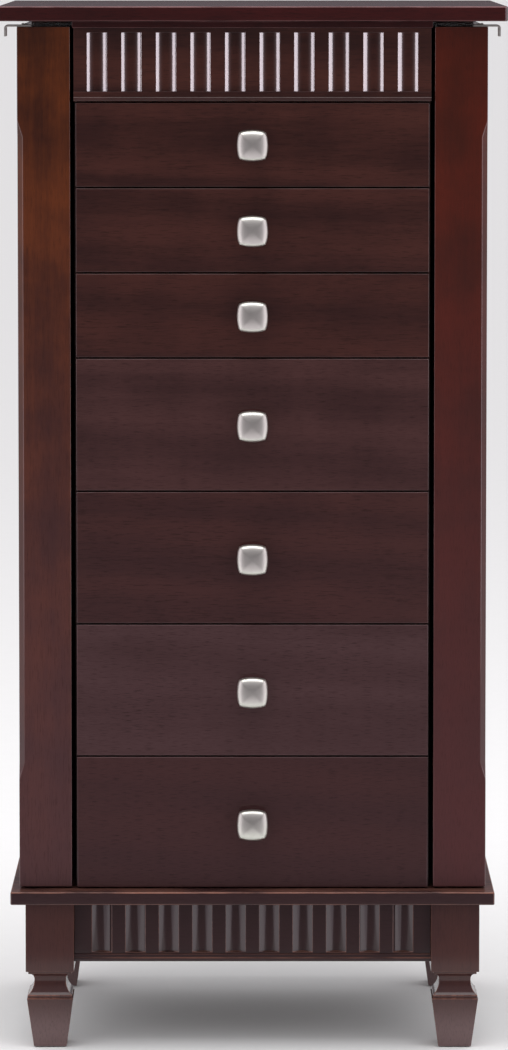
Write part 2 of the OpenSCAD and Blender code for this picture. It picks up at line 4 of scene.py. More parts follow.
import bpy
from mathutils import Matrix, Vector

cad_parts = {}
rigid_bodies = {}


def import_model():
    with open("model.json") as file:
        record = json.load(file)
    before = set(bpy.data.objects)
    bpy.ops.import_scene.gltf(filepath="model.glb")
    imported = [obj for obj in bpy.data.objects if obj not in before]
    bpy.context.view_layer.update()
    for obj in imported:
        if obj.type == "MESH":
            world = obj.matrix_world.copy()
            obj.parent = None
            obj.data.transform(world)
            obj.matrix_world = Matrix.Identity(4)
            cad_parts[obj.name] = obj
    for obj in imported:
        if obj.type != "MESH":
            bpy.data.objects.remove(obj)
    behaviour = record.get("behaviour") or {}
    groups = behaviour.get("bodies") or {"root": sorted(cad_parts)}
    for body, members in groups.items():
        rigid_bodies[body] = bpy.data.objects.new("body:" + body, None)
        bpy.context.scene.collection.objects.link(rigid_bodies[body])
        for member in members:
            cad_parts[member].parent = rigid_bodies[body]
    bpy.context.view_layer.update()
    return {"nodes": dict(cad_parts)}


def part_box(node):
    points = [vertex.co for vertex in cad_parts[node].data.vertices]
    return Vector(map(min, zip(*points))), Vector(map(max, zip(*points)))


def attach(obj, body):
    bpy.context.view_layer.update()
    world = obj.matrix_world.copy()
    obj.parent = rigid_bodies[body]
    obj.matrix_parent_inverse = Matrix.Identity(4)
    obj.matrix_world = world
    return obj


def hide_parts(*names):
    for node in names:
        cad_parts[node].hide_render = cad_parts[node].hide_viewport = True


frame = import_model()


# Legs. Four square legs of stained hardwood, screwed up into the plinth. Each is shaped on
# all four sides: a block, a short cove, a thin neck, a long cove and a tapered foot.
class Wire:
    """What comes out of a node. Sums, differences and products of wires are wires too."""

    def __init__(self, finish, socket):
        self.finish = finish
        self.socket = socket

    def __add__(self, other):
        return self.finish.math("ADD", self, other)

    def __radd__(self, other):
        return self.finish.math("ADD", other, self)

    def __sub__(self, other):
        return self.finish.math("SUBTRACT", self, other)

    def __rsub__(self, other):
        return self.finish.math("SUBTRACT", other, self)

    def __mul__(self, other):
        return self.finish.math("MULTIPLY", self, other)

    def __rmul__(self, other):
        return self.finish.math("MULTIPLY", other, self)


class Finish:
    """A material, or the world's light, that is built node by node."""

    def __init__(self, owner):
        owner.use_nodes = True
        self.material = owner
        self.nodes = owner.node_tree.nodes
        self.links = owner.node_tree.links

    def feed(self, sockets, values):
        for name, value in values.items():
            if isinstance(value, Wire):
                self.links.new(value.socket, sockets[name])
            else:
                sockets[name].default_value = value

    def node(self, kind, settings, values, output=0):
        made = self.nodes.new("ShaderNode" + kind)
        for name, value in settings.items():
            setattr(made, name, value)
        self.feed(made.inputs, values)
        return Wire(self, made.outputs[output])

    def math(self, operation, first, second):
        return self.node("Math", {"operation": operation}, {0: first, 1: second})

    def vector(self, operation, first, second, output=0):
        return self.node("VectorMath", {"operation": operation}, {0: first, 1: second}, output)

    def mix(self, factor, first, second):
        return self.node("Mix", {"data_type": "RGBA"}, {0: factor, 6: first, 7: second}, 2)

    def fade(self, value, start, end):
        sockets = {"Value": value, "From Min": start, "From Max": end}
        return self.node("MapRange", {"interpolation_type": "SMOOTHSTEP"}, sockets)

    def noise(self, where, scale, detail=2.0, roughness=0.5):
        sockets = {"Vector": where, "Scale": scale, "Detail": detail, "Roughness": roughness}
        return self.node("TexNoise", {}, sockets)

    def place(self):
        return self.node("TexCoord", {}, {}, "Object")

    def attribute(self, name, output="Fac"):
        return self.node("Attribute", {"attribute_name": name}, {}, output)

    def bump(self, height, strength, distance):
        return self.node(
            "Bump", {}, {"Height": height, "Strength": strength, "Distance": distance}
        )

    def surface(self, **values):
        shader = self.nodes["Principled BSDF"].inputs
        self.feed(shader, {name.replace("_", " "): value for name, value in values.items()})
        return self.material


def stained_wood(
    name,
    dark,
    light,
    foot,
    edge,
    other=None,
    floor_glow=None,
    wear_and_highlight=0.3,
    banding=0.5,
    mottle=0.8,
    figure=0.16,
    roughness=0.4,
    coat=0.7,
    grain=1.0,
    spread=0.25,
):
    """Lacquered wood. Its grain follows each board's own "along", and "board" sets it apart."""
    wood = Finish(bpy.data.materials.new(name))
    place = wood.place()
    along = wood.attribute("along", "Vector")
    number = wood.attribute("board")
    run = wood.vector("DOT_PRODUCT", place, along, "Value")
    pulled = wood.node("VectorMath", {"operation": "SCALE"}, {0: along, "Scale": run * 0.94})
    shift = wood.node(
        "CombineXYZ", {}, {"X": number * 0.37, "Y": number * 0.23, "Z": number * 0.29}
    )
    fibre = wood.vector("ADD", wood.vector("SUBTRACT", place, pulled), shift)
    pores = wood.fade(wood.noise(fibre, 1500, 2, 0.6), 0.5, 0.72)
    streaks = wood.noise(fibre, 260, 4, 0.65)
    bands = wood.noise(fibre, 60, 3, 0.55)
    blotch = wood.noise(wood.vector("ADD", place, shift), 13, 4, 0.6)
    waves = {"Vector": fibre, "Scale": 9.0, "Distortion": 5.0, "Detail": 2.0, "Detail Scale": 0.9}
    rings = wood.node(
        "TexWave", {"wave_type": "RINGS", "rings_direction": "SPHERICAL"}, waves, "Fac"
    )
    tone = streaks * 0.5 + bands * banding + blotch * mottle + rings * figure
    middle = 0.25 + 0.5 * (banding + mottle + figure)
    own = wood.math("FRACT", number * 0.618, 0)
    stain = wood.mix(own * 0.8, light, other or light)
    colour = wood.mix(wood.fade(tone, middle - 0.42, middle + 0.42), dark, stain)
    height = wood.node("SeparateXYZ", {}, {0: place}, "Z")
    # From 1 m down to 0.1 m the colour turns towards the plum foot tint, up to 80%: partly the
    # finish's own tone, partly a painted reflection of the pale floor.
    colour = wood.mix((1.0 - wood.fade(height, 0.1, 1.0)) * 0.8, colour, foot)
    # Painted floor glow: in the lowest 12 to 55 mm the colour turns to a paler pink, standing for
    # light thrown up from the pale floor.
    if floor_glow:
        colour = wood.mix(1.0 - wood.fade(height, 0.012, 0.055), colour, floor_glow)
    if other:
        colour = wood.mix(own * spread, colour, other)
    shadow = [channel * 0.45 for channel in dark[:3]] + [1]
    colour = wood.mix(pores * (0.55 * grain), colour, shadow)
    # Marked faces take the pale edge colour in patches: partly wear, partly a painted highlight on
    # the arrises and on faces turned up.
    worn_and_lit = wood.attribute("worn_and_lit") * wood.fade(blotch + streaks, 0.7, 1.2)
    colour = wood.mix(worn_and_lit * wear_and_highlight, colour, edge)
    relief = streaks * 0.35 + pores * -0.5
    return wood.surface(
        Base_Color=colour,
        Roughness=roughness + streaks * 0.1,
        Coat_Weight=coat,
        Coat_Roughness=0.1,
        Specular_IOR_Level=0.05,
        Normal=wood.bump(relief, 0.35 * grain, 0.0002),
    )


def alone(piece=None):
    """Nothing stays selected but the piece, which becomes the active one."""
    bpy.ops.object.select_all(action="DESELECT")
    if piece:
        piece.select_set(True)
        bpy.context.view_layer.objects.active = piece


def ease(piece, width, segments=2, angle=38):
    """Rounds every sharp edge, and marks the rounded faces for a pale edge colour, most where they
    face up: partly the rubbing of use, partly a painted highlight.
    """
    mesh = piece.data
    mesh.materials.append(None)
    mesh.materials.append(None)
    alone(piece)
    bpy.ops.object.mode_set(mode="EDIT")
    bpy.ops.mesh.select_mode(type="EDGE")
    bpy.ops.mesh.select_all(action="DESELECT")
    bpy.ops.mesh.edges_select_sharp(sharpness=math.radians(angle))
    bpy.ops.mesh.bevel(offset=width, segments=segments, affect="EDGES", material=1)
    bpy.ops.object.mode_set(mode="OBJECT")
    worn_and_lit = mesh.attributes.new("worn_and_lit", "FLOAT", "FACE")
    for face in mesh.polygons:
        # Rounded faces that look up get the full mark and the others 0.35: partly the rubbing of
        # use, partly a painted highlight from the light above.
        rubbed_and_toplit = 1 if face.normal.z > 0.2 else 0.35
        worn_and_lit.data[face.index].value = face.material_index * rubbed_and_toplit
        face.material_index = 0
    mesh.materials.clear()
    return piece


def lay_grain(piece, along, number):
    """Writes which way the grain runs, and the board's number."""
    count = len(piece.data.polygons)
    way = piece.data.attributes.new("along", "FLOAT_VECTOR", "FACE")
    way.data.foreach_set("vector", list(along) * count)
    own = piece.data.attributes.new("board", "FLOAT", "FACE")
    own.data.foreach_set("value", [number] * count)
    return piece


def pick(piece, kind, wanted):
    """Goes into edit mode with just the wanted faces or edges selected."""
    alone(piece)
    bpy.ops.object.mode_set(mode="EDIT")
    bpy.ops.mesh.select_mode(type=kind)
    bpy.ops.mesh.select_all(action="DESELECT")
    bpy.ops.object.mode_set(mode="OBJECT")
    for part in piece.data.polygons if kind == "FACE" else piece.data.edges:
        part.select = wanted(part)
    bpy.ops.object.mode_set(mode="EDIT")


def join(name, pieces):
    alone(pieces[0])
    for piece in pieces:
        piece.select_set(True)
    bpy.ops.object.join()
    pieces[0].name = name
    return pieces[0]


def fit(piece, material, body, slot, *nodes, angle=30):
    """Finishes a piece: its material, its smooth faces, its body, its CAD nodes; the slot is not
    used.
    """
    piece.data.materials.clear()
    piece.data.materials.append(material)
    alone(piece)
    bpy.ops.object.shade_smooth_by_angle(angle=math.radians(angle))
    piece.modifiers.new("flats", "WEIGHTED_NORMAL").keep_sharp = True
    bpy.ops.object.modifier_apply(modifier="flats")
    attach(piece, body)
    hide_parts(*nodes)
    return piece


def pull_up(rings, x, y):
    """Extrudes the selected face through rings of (half width, height) in millimetres."""
    for (half0, z0), (half, z) in zip(rings, rings[1:]):
        bpy.ops.mesh.extrude_region_move(TRANSFORM_OT_translate={"value": (0, 0, (z - z0) / 1000)})
        scale = half / half0
        bpy.ops.transform.resize(value=(scale, scale, 1), center_override=(x, y, z / 1000))


# The plum foot tint is partly a painted reflection of the floor, the pale pink low band is a
# painted glow from the floor, and the pale edge colour is partly a painted highlight.
base_wood = stained_wood(
    "base_wood",
    dark=(0.026, 0.009, 0.008, 1),
    light=(0.105, 0.030, 0.014, 1),
    foot=(0.047, 0.0185, 0.0185, 1),
    edge=(0.30, 0.13, 0.09, 1),
    other=(0.014, 0.008, 0.010, 1),
    floor_glow=(0.13, 0.08, 0.08, 1),
    wear_and_highlight=0.7,
    banding=0.4,
    mottle=1.3,
    grain=0.6,
    spread=0.5,
)
leg_rings = [(16, 1), (22.5, 49.4), (20.9, 49.4), (20.9, 50.6), (21.5, 50.6), (21.5, 52.6)]
for step in range(1, 8):
    z = 52.6 + 13.2 * step / 7
    leg_rings.append((32.73 - math.sqrt(17.33**2 - (65.8 - z) ** 2), z))
leg_rings.append((15.4, 67.8))
for step in range(1, 7):
    turn = math.radians(90) * step / 6
    leg_rings.append((21.1 - 5.7 * math.cos(turn), 67.8 + 5.7 * math.sin(turn)))
leg_rings += [(21.1, 76), (23.5, 76), (23.5, 144.8)]
for number, name in [
    (34, "leg_front_left"),
    (89, "leg_front_right"),
    (13, "leg_rear_left"),
    (5, "leg_rear_right"),
]:
    low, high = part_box(name)
    middle = (low + high) / 2
    alone()
    bpy.ops.mesh.primitive_plane_add(size=0.032, location=(middle.x, middle.y, 0.001))
    leg = bpy.context.object
    leg.name = name + "_wood"
    bpy.ops.object.transform_apply(location=True)
    bpy.ops.object.mode_set(mode="EDIT")
    bpy.ops.mesh.select_all(action="SELECT")
    pull_up(leg_rings, middle.x, middle.y)
    bpy.ops.mesh.select_all(action="SELECT")
    bpy.ops.mesh.normals_make_consistent(inside=False)
    bpy.ops.object.mode_set(mode="OBJECT")
    ease(leg, 0.00045)
    lay_grain(leg, (0, 0, 1), number)
    fit(leg, base_wood, "carcase", "base_wood", name)


# Glides. A round nylon glide with a rounded rim is pressed into the end of each leg.
nylon = Finish(bpy.data.materials.new("nylon"))
grit = nylon.noise(nylon.place(), 900, 3)
glide_plastic = nylon.surface(
    Base_Color=nylon.mix(grit, (0.012, 0.012, 0.012, 1), (0.03, 0.03, 0.03, 1)),
    Roughness=0.45 + grit * 0.2,
    Normal=nylon.bump(grit, 0.3, 0.0001),
)
glide_t = 0.004
glides = []
for name in ["leg_front_left", "leg_front_right", "leg_rear_left", "leg_rear_right"]:
    low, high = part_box(name)
    middle = (low + high) / 2
    alone()
    bpy.ops.mesh.primitive_cylinder_add(
        vertices=48, radius=0.01, depth=glide_t, location=(middle.x, middle.y, glide_t / 2)
    )
    bpy.ops.object.transform_apply(location=True)
    glides.append(ease(bpy.context.object, 0.0005))
fit(join("nylon_glides", glides), glide_plastic, "carcase", "glide_plastic", "leg_glides")


# Apron. Four stained boards between the legs. The front one has a row of ten flutes, and a
# strip with a bead along its foot.
def block(one, other):
    """A plain box between two opposite corners."""
    low = Vector(map(min, one, other))
    high = Vector(map(max, one, other))
    alone()
    bpy.ops.mesh.primitive_cube_add(size=1, location=(low + high) / 2, scale=high - low)
    bpy.ops.object.transform_apply(location=True, rotation=True, scale=True)
    return bpy.context.object


def board(one, other, along, number, width=0.0006, segments=2):
    """A board between two opposite corners, with eased edges."""
    return lay_grain(ease(block(one, other), width, segments), along, number)


def cut(piece, tools):
    """Takes the tools' shapes out of the piece."""
    tool = join("tool", tools)
    alone(piece)
    saw = piece.modifiers.new("saw", "BOOLEAN")
    saw.operation = "DIFFERENCE"
    saw.solver = "EXACT"
    saw.object = tool
    bpy.ops.object.modifier_apply(modifier="saw")
    bpy.data.objects.remove(tool)
    return piece


def flute_bars(width, margin, face_y, z0, z1):
    """Ten round bars, standing so far out of the face that each cuts 19.5 mm wide into it."""
    radius = 0.014
    axis_y = face_y - 0.01005
    bars = []
    for i in range(10):
        x = (i / 9 - 0.5) * (width - 2 * margin)
        alone()
        bpy.ops.mesh.primitive_cylinder_add(
            vertices=96, radius=radius, depth=z1 - z0, location=(x, axis_y, (z0 + z1) / 2)
        )
        bpy.ops.object.transform_apply(location=True)
        bars.append(bpy.context.object)
    return bars


def bead(low, high, number):
    """A moulding with a flat above a half-round that stands out along its lower edge."""
    flat_y = high.y - 0.0018
    flat = board((low.x, flat_y, low.z), high, (1, 0, 0), number, 0.0004)
    radius = 0.0023
    axis_y = high.y - 0.0008
    alone()
    bpy.ops.mesh.primitive_cylinder_add(
        vertices=32,
        radius=radius,
        depth=high.x - low.x,
        location=((low.x + high.x) / 2, axis_y, low.z + radius),
        rotation=(0, math.radians(90), 0),
    )
    bpy.ops.object.transform_apply(location=True, rotation=True)
    half_round = lay_grain(ease(bpy.context.object, 0.0002), (1, 0, 0), number)
    # The upper side of the half-round gets a strong mark for the pale edge colour: a painted
    # highlight.
    worn_and_lit = half_round.data.attributes["worn_and_lit"].data
    for face in half_round.data.polygons:
        worn_and_lit[face.index].value = 0.7 * (face.normal.z > 0.3)
    return [flat, half_round]


low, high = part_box("apron_front")
apron = block(low, high)
below, above = 0.0089, 0.0043
cut(apron, flute_bars(high.x - low.x, 0.027, low.y, low.z + below, high.z - above))
lay_grain(ease(apron, 0.0004), (1, 0, 0), 21)
apron.name = "apron_front_wood"
fit(apron, base_wood, "carcase", "base_wood", "apron_front")
low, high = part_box("apron_bead")
strip = join("apron_bead_wood", bead(low, high, 55))
fit(strip, base_wood, "carcase", "base_wood", "apron_bead")
low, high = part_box("apron_sides")
apron_t = 0.012
sides = [
    board((x, low.y, low.z), (x - math.copysign(apron_t, x), high.y, high.z), (0, 1, 0), n)
    for n, x in [(76, low.x), (8, high.x)]
]
fit(join("apron_sides_wood", sides), base_wood, "carcase", "base_wood", "apron_sides")
low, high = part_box("apron_rear")
rear = board(low, high, (1, 0, 0), 42)
rear.name = "apron_rear_wood"
fit(rear, base_wood, "carcase", "base_wood", "apron_rear")


# Plinth. One thick stained board across the legs, with a rounded upper edge.
low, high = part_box("plinth")
plinth = board(low, high, (1, 0, 0), 97, width=0.0013, segments=3)
# The plinth's flat top gets half the pale edge colour: painted light, the top face lit from above.
worn_and_lit = plinth.data.attributes["worn_and_lit"].data
for face in plinth.data.polygons:
    if face.normal.z > 0.99:
        worn_and_lit[face.index].value = 0.5
plinth.name = "plinth_wood"
fit(plinth, base_wood, "carcase", "base_wood", "plinth")


# Carcase. Two sides and a full-width back, stained, glued and screwed to the plinth. The
# back is let in for the fixed leaves of the hinges.
carcase_wood = stained_wood(
    "carcase_wood",
    dark=(0.018, 0.007, 0.005, 1),
    light=(0.05, 0.018, 0.012, 1),
    foot=(0.03, 0.013, 0.011, 1),
    edge=(0.13, 0.06, 0.04, 1),
    roughness=0.42,
)
for number, name in [(21, "carcase_side_left"), (22, "carcase_side_right")]:
    side = board(*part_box(name), (0, 0, 1), number)
    side.name = name + "_wood"
    fit(side, carcase_wood, "carcase", "carcase_wood", name)
low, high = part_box("back_panel")
hinge_low, hinge_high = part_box("door_right_hinge")
door_hinge_half = 0.02
first_z = hinge_low.z + door_hinge_half
last_z = hinge_high.z - door_hinge_half
hinge_z = [first_z + i * (last_z - first_z) / 2 for i in range(3)]
lid_hinge_x = 0.15
leaf_w = 0.0091
leaf_t = 0.0016
door_leaf_half = 0.0301
lid_leaf_half = 0.0251
past = 0.001
pockets = []
for x in [low.x, high.x]:
    for z in hinge_z:
        one = (x - math.copysign(leaf_w, x), low.y - past, z - door_leaf_half)
        other = (x + math.copysign(past, x), low.y + leaf_t, z + door_leaf_half)
        pockets.append(block(one, other))
for x in [-lid_hinge_x, lid_hinge_x]:
    one = (x - lid_leaf_half, high.y - leaf_w, high.z - leaf_t)
    pockets.append(block(one, (x + lid_leaf_half, high.y + past, high.z + past)))
back = cut(block(low, high), pockets)
back.name = "back_panel_wood"
lay_grain(ease(back, 0.0005), (0, 0, 1), 23)
fit(back, carcase_wood, "carcase", "carcase_wood", "back_panel")


# Runners. A pair of plain waxed strips for each drawer, screwed to the carcase's sides.
box_wood = stained_wood(
    "box_wood",
    dark=(0.32, 0.19, 0.10, 1),
    light=(0.52, 0.36, 0.21, 1),
    foot=(0.42, 0.28, 0.16, 1),
    edge=(0.55, 0.40, 0.26, 1),
    roughness=0.5,
    coat=0.05,
    grain=0.6,
)
low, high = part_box("drawer_runners")
runner_w = 0.01
runner_h = 0.008
runner_lift = 0.0015
strips = []
for n in range(1, 8):
    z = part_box(f"drawer_{n}_front")[0].z + runner_lift
    for x in [low.x, high.x]:
        inner_x = x - math.copysign(runner_w, x)
        strips.append(board((x, low.y, z), (inner_x, high.y, z + runner_h), (0, 1, 0), 30 + n))
fit(join("runner_strips", strips), box_wood, "carcase", "drawer_box_wood", "drawer_runners")


# Frieze. A stained board with ten flutes, a bead moulding on its foot and a cap rail on top.
# The plum foot tint is partly a painted reflection of the floor, and the pale edge colour is partly
# a painted highlight.
front_wood = stained_wood(
    "front_wood",
    dark=(0.022, 0.0055, 0.0042, 1),
    light=(0.054, 0.0145, 0.0095, 1),
    foot=(0.045, 0.019, 0.0205, 1),
    edge=(0.14, 0.08, 0.08, 1),
    other=(0.085, 0.045, 0.048, 1),
    figure=0.35,
)
low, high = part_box("frieze_panel")
frieze = block(low, high)
below, above = 0.0093, 0.0043
cut(frieze, flute_bars(high.x - low.x, 0.0225, low.y, low.z + below, high.z - above))
lay_grain(ease(frieze, 0.0004), (1, 0, 0), 34)
frieze.name = "frieze_panel_wood"
fit(frieze, front_wood, "carcase", "drawer_front_wood", "frieze_panel")
low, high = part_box("frieze_bead")
strip = join("frieze_bead_wood", bead(low, high, 47))
fit(strip, front_wood, "carcase", "drawer_front_wood", "frieze_bead")
# The pale edge colour is partly a painted highlight on the arrises of the lid and the cap.
lid_wood = stained_wood(
    "lid_wood",
    dark=(0.020, 0.0025, 0.0025, 1),
    light=(0.040, 0.0042, 0.0040, 1),
    foot=(0.04, 0.008, 0.008, 1),
    edge=(0.30, 0.15, 0.15, 1),
    wear_and_highlight=0.5,
)
cap = board(*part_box("frieze_cap"), (1, 0, 0), 43)
cap.name = "frieze_cap_wood"
fit(cap, lid_wood, "carcase", "lid_wood", "frieze_cap")


# Tray. A floor and four dividers covered in velvet, and seven stuffed rolls that hold rings.
def velvet(name, deep, pile):
    """Short-piled cloth: dark into the pile, with a pale sheen at a glance."""
    cloth = Finish(bpy.data.materials.new(name))
    place = cloth.place()
    nap = cloth.noise(place, 2600, 2)
    brushed = cloth.noise(place, 22, 3, 0.6)
    return cloth.surface(
        Base_Color=cloth.mix(cloth.fade(brushed, 0.3, 0.7), deep, pile),
        Roughness=0.85 + nap * 0.1,
        Sheen_Weight=0.8,
        Sheen_Roughness=0.4,
        Sheen_Tint=pile,
        Specular_IOR_Level=0.2,
        Normal=cloth.bump(nap + brushed * 0.6, 0.6, 0.0003),
    )


lining = velvet("lining_velvet", (0.012, 0.010, 0.014, 1), (0.05, 0.042, 0.055, 1))
low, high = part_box("tray_floor")
floor = ease(block(low, high), 0.0015, 3)
floor.name = "tray_floor_velvet"
fit(floor, lining, "carcase", "lining_velvet", "tray_floor")
low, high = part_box("tray_dividers")
mid_y = (low.y + high.y) / 2
half = 0.002
play = 0.0001
third = 0.0534
front_y = mid_y - half - play
walls = [((low.x, mid_y - half), (high.x, mid_y + half))]
for x, y0, y1 in [
    (-third, low.y, front_y),
    (third, low.y, front_y),
    (0, mid_y + half + play, high.y),
]:
    walls.append(((x - half, y0), (x + half, y1)))
walls = [
    ease(block((*one, low.z + play), (*other, high.z)), 0.0014, 3) for one, other in walls
]
fit(join("divider_walls", walls), lining, "carcase", "lining_velvet", "tray_dividers")
low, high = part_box("ring_rolls")
tray_y0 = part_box("tray_floor")[0].y
pitch = (mid_y - half - tray_y0) / 7
rolls = []
for i in range(7):
    y = tray_y0 + (i + 0.5) * pitch
    alone()
    bpy.ops.mesh.primitive_cylinder_add(
        vertices=24,
        radius=(high.z - low.z) / 2,
        depth=high.x - low.x,
        location=((low.x + high.x) / 2, y, (low.z + high.z) / 2),
        rotation=(0, math.radians(90), 0),
    )
    bpy.ops.object.transform_apply(location=True, rotation=True)
    roll = ease(bpy.context.object, 0.0035, 4)
    swell = roll.modifiers.new("swell", "SUBSURF")
    swell.levels = 1
    bpy.ops.object.modifier_apply(modifier="swell")
    stuffing = bpy.data.textures.new("stuffing", "CLOUDS")
    stuffing.noise_scale = 0.012
    uneven = roll.modifiers.new("uneven", "DISPLACE")
    uneven.texture = stuffing
    uneven.strength = 0.0008
    uneven.mid_level = 0.9
    bpy.ops.object.modifier_apply(modifier="uneven")
    rolls.append(roll)
rolls = join("stuffed_ring_rolls", rolls)
fit(rolls, lining, "carcase", "lining_velvet", "ring_rolls")


# Drawer boxes. Plain light hardwood boards, glued and pinned, with a thin padded velvet
# liner laid on each floor.
wall = 0.009
floor_lift = 0.002
floor_t = 0.004
liner_t = 0.004
liner_gap = 0.001
for n in range(1, 8):
    low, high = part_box(f"drawer_{n}_box")
    inner = high.x - wall - play
    parts = [
        board((x, low.y, low.z), (x - math.copysign(wall, x), high.y, high.z), (0, 1, 0), 50 + n)
        for x in [low.x, high.x]
    ]
    for y in [low.y, high.y - wall]:
        parts.append(board((-inner, y, low.z), (inner, y + wall, high.z), (1, 0, 0), 60 + n + y))
    floor_z = low.z + floor_lift
    one = (-inner, low.y + wall, floor_z)
    other = (inner, high.y - wall, floor_z + floor_t)
    parts.append(board(one, other, (1, 0, 0), 70 + n, 0.0003))
    box = join(f"drawer_{n}_box_boards", parts)
    fit(box, box_wood, f"drawer_{n}", "drawer_box_wood", f"drawer_{n}_box")
    base_z = floor_z + floor_t + 2 * play
    half_x = inner - liner_gap
    half_y = (high.y - low.y) / 2 - wall - liner_gap
    centre_y = (low.y + high.y) / 2
    liner = block(
        (-half_x, centre_y - half_y, base_z), (half_x, centre_y + half_y, base_z + liner_t)
    )
    liner.name = f"drawer_{n}_liner"
    bpy.ops.object.mode_set(mode="EDIT")
    bpy.ops.mesh.select_all(action="SELECT")
    bpy.ops.mesh.bevel(offset=0.0012, segments=2, affect="EDGES")
    bpy.ops.mesh.select_all(action="SELECT")
    bpy.ops.mesh.subdivide(number_cuts=5)
    bpy.ops.object.mode_set(mode="OBJECT")
    crown = 0.003
    for point in liner.data.vertices:
        if point.co.z > base_z + 0.75 * liner_t:
            u = min(abs(point.co.x) / half_x, 1)
            v = min(abs(point.co.y - centre_y) / half_y, 1)
            point.co.z += crown * (1 - u**4) * (1 - v**4)
    fit(liner, lining, f"drawer_{n}", "lining_velvet", angle=80)


# Drawer fronts. Stained boards with eased edges, screwed to the boxes from inside. The
# grain runs across, and each front has its own figure.
for n, number in enumerate([84.2, 79.35, 89, 87.9, 81, 90.5, 76.1], 1):
    front = board(*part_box(f"drawer_{n}_front"), (1, 0, 0), number, 0.0008, 3)
    front.name = f"drawer_{n}_front_wood"
    fit(front, front_wood, f"drawer_{n}", "drawer_front_wood", f"drawer_{n}_front")


# Knobs. A cast, pillow-shaped knob of satin nickel on each drawer, with a domed face that
# rolls over to its sides. A screw from inside the drawer holds it.
nickel = Finish(bpy.data.materials.new("satin_nickel"))
brushing = nickel.noise(nickel.place(), 3200, 2)
cloudy = nickel.noise(nickel.place(), 90, 3)
satin_nickel = nickel.surface(
    Base_Color=nickel.mix(cloudy, (0.65, 0.655, 0.59, 1), (0.77, 0.775, 0.71, 1)),
    Metallic=1.0,
    Roughness=0.3 + brushing * 0.14,
    Normal=nickel.bump(brushing, 0.08, 0.0001),
)


def knob(name, x, z, face_y):
    """A round foot, neck and screw, and a head that is pulled out of a flat, four-sided ring."""
    back_y = face_y - 0.013
    alone()
    bpy.ops.mesh.primitive_circle_add(
        vertices=64,
        radius=1,
        fill_type="NGON",
        location=(x, back_y, z),
        rotation=(math.radians(90), 0, 0),
    )
    head = bpy.context.object
    # Each side is an arc of 43.25 mm radius, and the corners are drawn in by 0.5 mm.
    side_r = 43.25
    centre_off = 28.25
    for point in head.data.vertices:
        turn = abs((math.degrees(math.atan2(point.co.y, point.co.x)) + 45) % 90 - 45)
        along = centre_off * math.cos(math.radians(turn))
        reach = math.sqrt(along**2 - centre_off**2 + side_r**2) - along
        reach -= 0.5 * max(0, turn / 45 - 0.8) * 5
        point.co *= reach / 1000
    bpy.ops.object.transform_apply(location=True, rotation=True)
    bpy.ops.object.mode_set(mode="EDIT")
    bpy.ops.mesh.select_all(action="SELECT")
    # Share of the ring's full size, and millimetres out from the drawer's face.
    rings = [(0.9, 13.0), (0.975, 13.1), (1.0, 13.9), (1.0, 16.4), (0.994, 17.6), (0.976, 18.7)]
    rings += [(0.945, 19.7), (0.9, 20.55), (0.84, 21.3), (0.77, 21.92), (0.68, 22.48)]
    rings += [(0.56, 23.02), (0.42, 23.46), (0.28, 23.76), (0.14, 23.93), (0.04, 23.98)]
    first = rings[0][0]
    bpy.ops.transform.resize(value=(first, 1, first), center_override=(x, back_y, z))
    for (size0, out0), (size, out) in zip(rings, rings[1:]):
        move = {"value": (0, -(out - out0) / 1000, 0)}
        bpy.ops.mesh.extrude_region_move(TRANSFORM_OT_translate=move)
        bpy.ops.transform.resize(
            value=(size / size0, 1, size / size0), center_override=(x, face_y, z)
        )
    bpy.ops.mesh.select_all(action="SELECT")
    bpy.ops.mesh.normals_make_consistent(inside=False)
    bpy.ops.object.mode_set(mode="OBJECT")
    turned = []
    for radius, out0, out1, rounding in [
        (0.008, 0, 0.002, 0.0006),
        (0.006, 0.001, 0.0135, 0.0004),
        (0.002, -0.024, 0.001, 0.0003),
        (0.004, -0.0264, -0.024, 0.001),
    ]:
        alone()
        bpy.ops.mesh.primitive_cylinder_add(
            vertices=32,
            radius=radius,
            depth=out1 - out0,
            location=(x, face_y - (out0 + out1) / 2, z),
            rotation=(math.radians(90), 0, 0),
        )
        bpy.ops.object.transform_apply(location=True, rotation=True)
        turned.append(ease(bpy.context.object, rounding, 3))
    return join(name, [head, *turned])


for n in range(1, 8):
    low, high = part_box(f"drawer_{n}_front")
    name = f"drawer_{n}_knob"
    metal = knob(name + "_metal", 0, (low.z + high.z) / 2, low.y)
    fit(metal, satin_nickel, f"drawer_{n}", "satin_nickel", name, angle=40)
